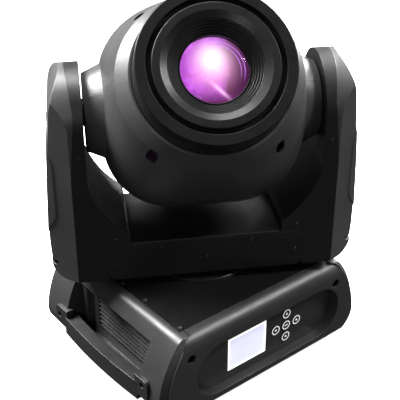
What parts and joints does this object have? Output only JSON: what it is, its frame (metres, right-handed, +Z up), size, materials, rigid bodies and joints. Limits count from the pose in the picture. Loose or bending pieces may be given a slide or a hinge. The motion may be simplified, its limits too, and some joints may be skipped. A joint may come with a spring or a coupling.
{
  "type": "moving head light",
  "caption": "Moving head stage light: a head with a large round lens tilts in a U-shaped yoke that pans on a base with a display, press buttons, hand grips and feet.",
  "frame": {"origin": "centre of the bracket hole pattern in the underside of the base, on the pan axis", "axes": "+Z up along the pan axis, -Y towards the side with the display and buttons, +X to the right of someone facing that side"},
  "size_m": [0.3656, 0.3115, 0.4981],
  "materials": {
    "case_plastic": "fine-textured satin black",
    "base_metal": "satin black powder coat",
    "foot_rubber": "matt black rubber",
    "screw_steel": "black oxide",
    "grille_plastic": "matt black",
    "handle_plastic": "fine-textured black",
    "panel_plastic": "dark semi-gloss panel film",
    "display_border": "white border",
    "display_glow": "pale lavender lit screen",
    "button_plastic": "dark satin",
    "circuit_board": "green solder mask",
    "connector_plastic": "matt black",
    "connector_metal": "nickel plated",
    "machined_aluminium": "machined",
    "frame_steel": "black painted sheet steel",
    "bearing_steel": "ground steel",
    "motor_steel": "black painted",
    "belt_rubber": "black toothed belt",
    "yoke_black": "matt black textured",
    "yoke_grey": "graphite textured",
    "bezel_plastic": "smooth matt black",
    "ring_plastic": "smooth matt black",
    "baffle_plastic": "matt black ribbed",
    "lens_glass": "coated optical glass",
    "head_plastic": "graphite textured",
    "fan_plastic": "black moulded",
    "wheel_aluminium": "anodised"
  },
  "bodies": {
    "base": {"base_plate": "base_metal", "rubber_feet": "foot_rubber", "base_top_plate": "base_metal", "case_screws": "screw_steel", "front_cover": "case_plastic", "rear_cover": "case_plastic", "side_cover_right": "case_plastic", "side_cover_left": "case_plastic", "vent_grilles": "grille_plastic", "handle_right": "handle_plastic", "handle_left": "handle_plastic", "control_panel": "panel_plastic", "display_frame": "display_border", "display_screen": "display_glow", "control_board": "circuit_board", "power_inlet": "connector_plastic", "data_connectors": "connector_metal", "power_supply": "machined_aluminium", "pan_hub": "machined_aluminium"},
    "yoke": {"yoke_frame": "frame_steel", "pan_bearing": "bearing_steel", "pan_motor": "motor_steel", "pan_belt": "belt_rubber", "tilt_motor": "motor_steel", "tilt_belt": "belt_rubber", "tilt_bearings": "bearing_steel", "arm_shell_right": "yoke_black", "arm_shell_left": "yoke_black", "arm_cover_right": "yoke_grey", "arm_cover_left": "yoke_grey", "cross_cover": "yoke_black", "yoke_front_plate": "yoke_black", "yoke_rear_plate": "yoke_black", "yoke_screws": "screw_steel"},
    "head": {"head_bezel": "bezel_plastic", "lens_ring": "ring_plastic", "lens_baffle": "baffle_plastic", "front_lens": "lens_glass", "front_collar": "head_plastic", "upper_shell": "head_plastic", "lower_shell": "head_plastic", "rear_grille": "grille_plastic", "head_chassis": "frame_steel", "tilt_pulley": "machined_aluminium", "led_engine": "machined_aluminium", "heat_sink": "machined_aluminium", "head_fan_frame": "fan_plastic", "wheel_motors": "motor_steel"},
    "pan_pinion": {"pan_pinion": "machined_aluminium"},
    "tilt_pinion": {"tilt_pinion": "machined_aluminium"},
    "head_fan_rotor": {"head_fan_rotor": "fan_plastic"},
    "colour_wheel": {"colour_wheel": "wheel_aluminium"},
    "gobo_wheel": {"gobo_wheel": "wheel_aluminium"},
    "focus": {"focus_carriage": "machined_aluminium", "focus_lens": "lens_glass"},
    "button_up": {"button_up": "button_plastic"},
    "button_down": {"button_down": "button_plastic"},
    "button_left": {"button_left": "button_plastic"},
    "button_right": {"button_right": "button_plastic"},
    "button_enter": {"button_enter": "button_plastic"}
  },
  "joints": [
    {"name": "pan", "type": "hinge", "parent": "base", "child": "yoke", "pos_m": [0, 0, 0.13], "axis": [0, 0, 1], "range_deg": [-239.8, 300.2]},
    {"name": "tilt", "type": "hinge", "parent": "yoke", "child": "head", "pos_m": [0, 0, 0.322], "axis": [0.8643, -0.503, 0], "range_deg": [-175, 75]},
    {"name": "pan_pinion_spin", "type": "hinge", "parent": "yoke", "child": "pan_pinion", "pos_m": [-0.10198, 0.05936, 0.135], "axis": [0, 0, 1], "continuous": true},
    {"name": "tilt_pinion_spin", "type": "hinge", "parent": "yoke", "child": "tilt_pinion", "pos_m": [0.13396, -0.07797, 0.215], "axis": [0.8643, -0.503, 0], "continuous": true},
    {"name": "head_fan_spin", "type": "hinge", "parent": "head", "child": "head_fan_rotor", "pos_m": [0.04111, 0.07063, 0.25294], "axis": [-0.3842, -0.6601, 0.6455], "continuous": true},
    {"name": "colour_wheel_spin", "type": "hinge", "parent": "head", "child": "colour_wheel", "pos_m": [-0.02573, 0.0353, 0.30715], "axis": [-0.3842, -0.6601, 0.6455], "continuous": true},
    {"name": "gobo_wheel_spin", "type": "hinge", "parent": "head", "child": "gobo_wheel", "pos_m": [0.03841, -0.01352, 0.31555], "axis": [-0.3842, -0.6601, 0.6455], "continuous": true},
    {"name": "focus_slide", "type": "slide", "parent": "head", "child": "focus", "axis": [-0.3842, -0.6601, 0.6455], "range_m": [-0.012, 0.012]},
    {"name": "button_up_press", "type": "slide", "parent": "base", "child": "button_up", "axis": [0, 1, 0], "range_m": [0, 0.001], "stiffness_N_per_m": 1000, "springref_m": -0.0005},
    {"name": "button_down_press", "type": "slide", "parent": "base", "child": "button_down", "axis": [0, 1, 0], "range_m": [0, 0.001], "stiffness_N_per_m": 1000, "springref_m": -0.0005},
    {"name": "button_left_press", "type": "slide", "parent": "base", "child": "button_left", "axis": [0, 1, 0], "range_m": [0, 0.001], "stiffness_N_per_m": 1000, "springref_m": -0.0005},
    {"name": "button_right_press", "type": "slide", "parent": "base", "child": "button_right", "axis": [0, 1, 0], "range_m": [0, 0.001], "stiffness_N_per_m": 1000, "springref_m": -0.0005},
    {"name": "button_enter_press", "type": "slide", "parent": "base", "child": "button_enter", "axis": [0, 1, 0], "range_m": [0, 0.001], "stiffness_N_per_m": 1000, "springref_m": -0.0005}
  ],
  "couplings": [
    {"joint": "pan_pinion_spin", "follows": "pan", "ratio": -4.2222},
    {"joint": "tilt_pinion_spin", "follows": "tilt", "ratio": 3.7778}
  ]
}
